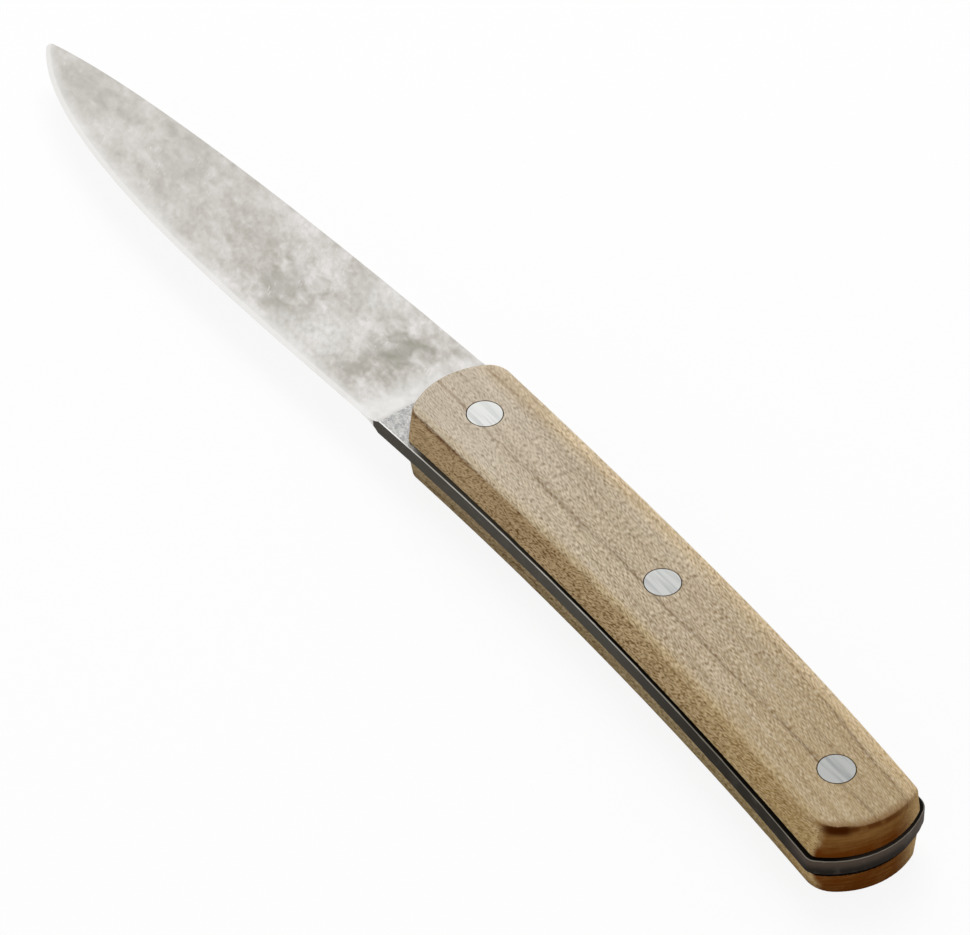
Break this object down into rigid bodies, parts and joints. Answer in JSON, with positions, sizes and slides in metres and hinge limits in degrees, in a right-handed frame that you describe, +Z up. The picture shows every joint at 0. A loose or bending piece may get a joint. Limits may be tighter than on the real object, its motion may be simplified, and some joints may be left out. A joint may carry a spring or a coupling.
{
  "type": "paring knife",
  "caption": "Full-tang paring knife: a short, pointed, flat-ground steel blade riveted between flat wooden handle scales.",
  "frame": {"origin": "middle of the knife's outline, on the face it lies on", "axes": "+X along the handle towards the tip, +Y across towards the cutting edge, +Z up through the blade's left side"},
  "size_m": [0.1998, 0.0234, 0.0125],
  "materials": {
    "steel": "mottled stonewashed flats, dark scale left on the edges of the tang",
    "wood": "pale brown open-pored hardwood, oiled, with darker end grain at the butt",
    "aluminium": "ground flush with the wood, fine lines along the handle"
  },
  "bodies": {
    "root": {"blade": "steel", "left_handle_scale": "wood", "right_handle_scale": "wood", "front_rivet_socket": "aluminium", "front_rivet_stud": "aluminium", "middle_rivet_socket": "aluminium", "middle_rivet_stud": "aluminium", "rear_rivet_socket": "aluminium", "rear_rivet_stud": "aluminium"}
  },
  "joints": []
}
